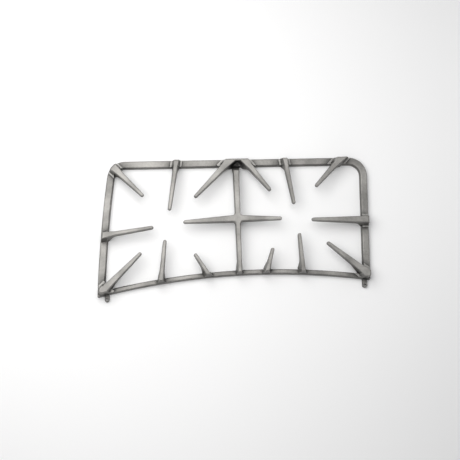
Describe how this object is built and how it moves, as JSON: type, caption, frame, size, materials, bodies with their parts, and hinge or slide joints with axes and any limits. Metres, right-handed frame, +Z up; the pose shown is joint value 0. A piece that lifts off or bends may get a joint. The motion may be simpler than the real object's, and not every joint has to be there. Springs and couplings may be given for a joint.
{
  "type": "hob pan support",
  "caption": "Cast iron hob pan support for two burners: a low ring of bars with raised tapered fingers, a middle bar and eye lugs at one side.",
  "frame": {"origin": "middle of the footprint, on the flat underside of the bars", "axes": "+X along the straight side towards the plain end, +Y towards the straight side, +Z up towards the pan"},
  "size_m": [0.4803, 0.2458, 0.026],
  "materials": {
    "cast_iron": "matte grey casting"
  },
  "bodies": {
    "root": {"pan_support": "cast_iron"}
  },
  "joints": []
}
